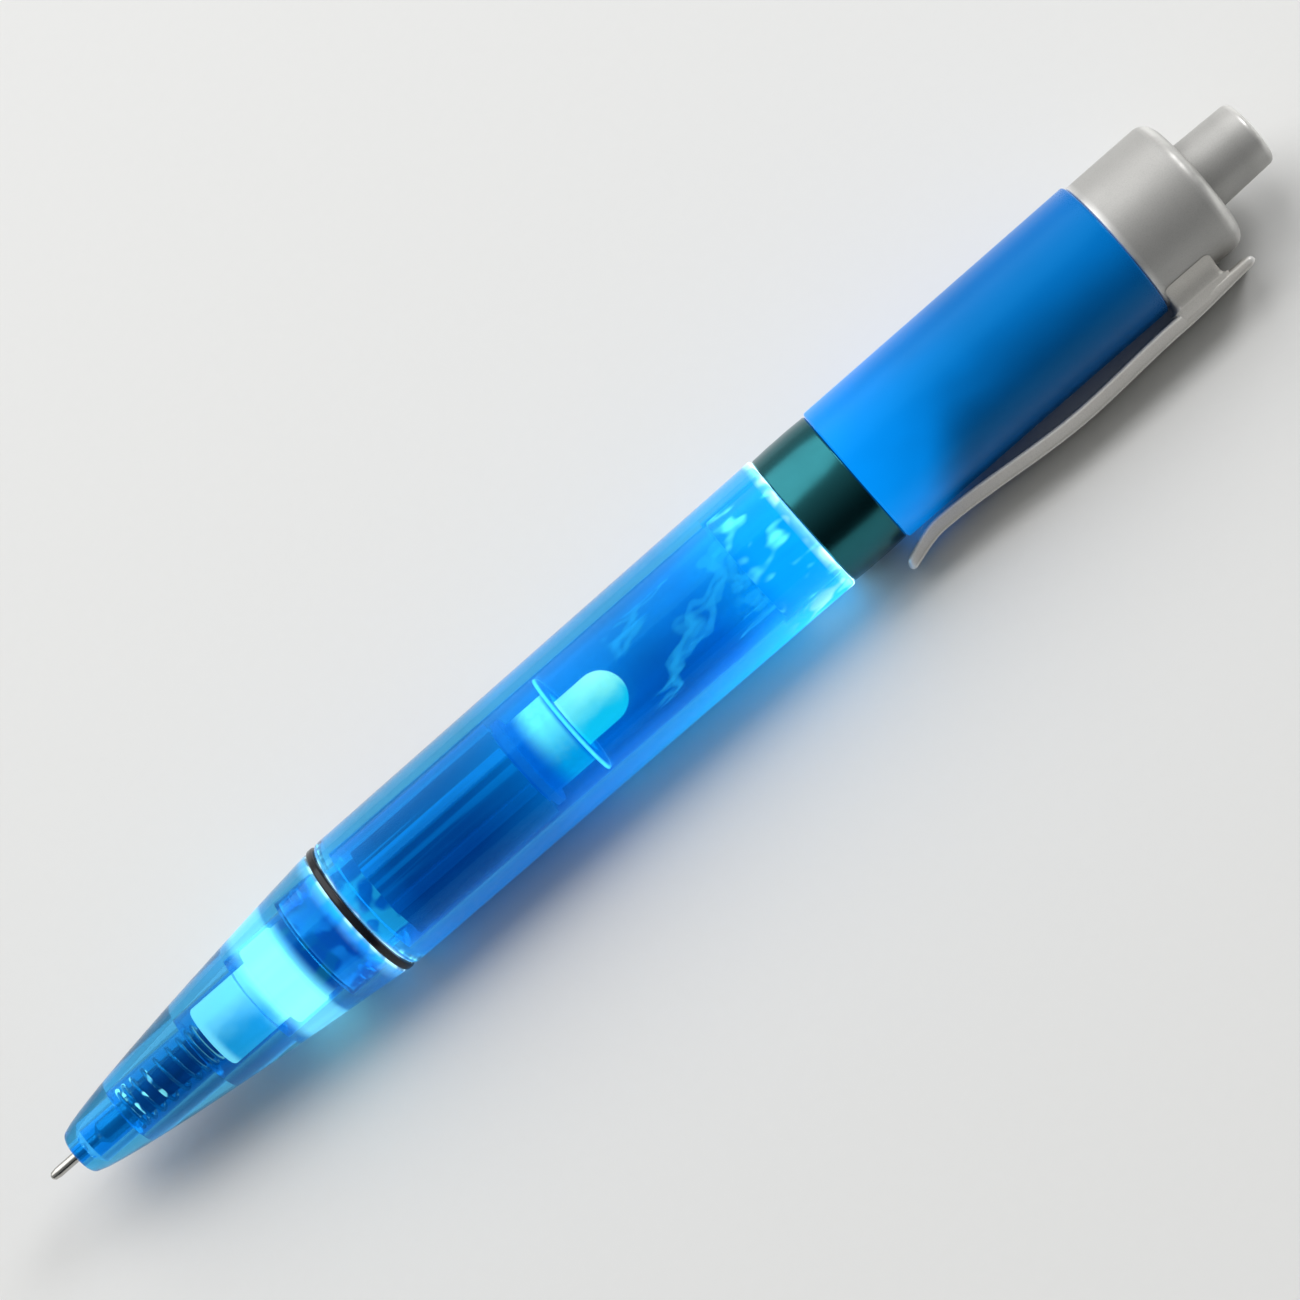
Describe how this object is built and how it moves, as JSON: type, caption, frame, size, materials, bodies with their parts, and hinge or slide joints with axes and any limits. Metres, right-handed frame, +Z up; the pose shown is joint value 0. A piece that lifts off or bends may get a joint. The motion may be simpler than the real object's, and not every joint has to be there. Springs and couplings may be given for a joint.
{
  "type": "light-up pen",
  "caption": "Click ballpoint pen with a clear lamp-lit lower barrel, translucent blue upper barrel, mirror ring, silver cap with pocket clip, and push button.",
  "frame": {"origin": "on the surface that the pen lies on, under the middle of its box", "axes": "+X along the pen from the writing point to the button, +Z up; the clip is on the -Y side, turned down to touch the surface"},
  "size_m": [0.1428, 0.0171, 0.0145],
  "materials": {
    "clear_plastic": "clear moulded plastic, lit blue from inside",
    "blue_plastic": "translucent blue moulded plastic",
    "black_plastic": "glossy black",
    "mirror_ring": "mirror plated",
    "silver_plastic": "satin silver paint",
    "white_plastic": "white moulded plastic",
    "frosted_plastic": "frosted translucent plastic",
    "lamp_lens": "lit epoxy lens",
    "cell_can": "plain metal can",
    "contact_brass": "plain strip",
    "spring_steel": "drawn wire",
    "point_steel": "turned metal",
    "ink_plastic": "ink-filled tube"
  },
  "bodies": {
    "barrel": {"nose_cone": "clear_plastic", "joint_ring": "black_plastic", "lower_barrel": "clear_plastic", "centre_ring": "mirror_ring", "upper_barrel": "blue_plastic", "cap": "silver_plastic", "cam_sleeve": "white_plastic", "return_spring": "spring_steel"},
    "cartridge": {"refill_point": "point_steel", "writing_ball": "point_steel", "ink_tube": "ink_plastic", "refill_carrier": "white_plastic", "battery_tube": "frosted_plastic", "button_cell_1": "cell_can", "button_cell_2": "cell_can", "button_cell_3": "cell_can", "contact_spring": "spring_steel", "contact_strip": "contact_brass", "rear_contact": "contact_brass", "led_holder": "frosted_plastic", "led_lamp": "lamp_lens", "anode_lead": "spring_steel", "cathode_lead": "spring_steel", "push_tube": "clear_plastic"},
    "rotor": {"cam_rotor": "white_plastic"},
    "button": {"push_button": "silver_plastic"},
    "clip": {"clip": "silver_plastic"}
  },
  "joints": [
    {"name": "click_slide", "type": "slide", "parent": "barrel", "child": "cartridge", "axis": [1, 0, 0], "range_m": [-0.0012, 0.0045], "deforming": ["return_spring"]},
    {"name": "button_slide", "type": "slide", "parent": "barrel", "child": "button", "axis": [1, 0, 0], "range_m": [-0.0012, 0.0045]},
    {"name": "rotor_turn", "type": "hinge", "parent": "cartridge", "child": "rotor", "pos_m": [0.0419, 0.00132, 0.0072], "axis": [1, 0, 0], "range_deg": [-12.5, 45.5]},
    {"name": "clip_flex", "type": "hinge", "parent": "barrel", "child": "clip", "pos_m": [0.05845, -0.00463, 0.00371], "axis": [0, -0.5064, 0.8623], "range_deg": [0, 5], "stiffness_Nm_per_rad": 1.5}
  ],
  "couplings": [
    {"joint": "button_slide", "follows": "click_slide", "ratio": 1},
    {"joint": "rotor_turn", "follows": "click_slide", "rad_per_m": 174.53}
  ]
}
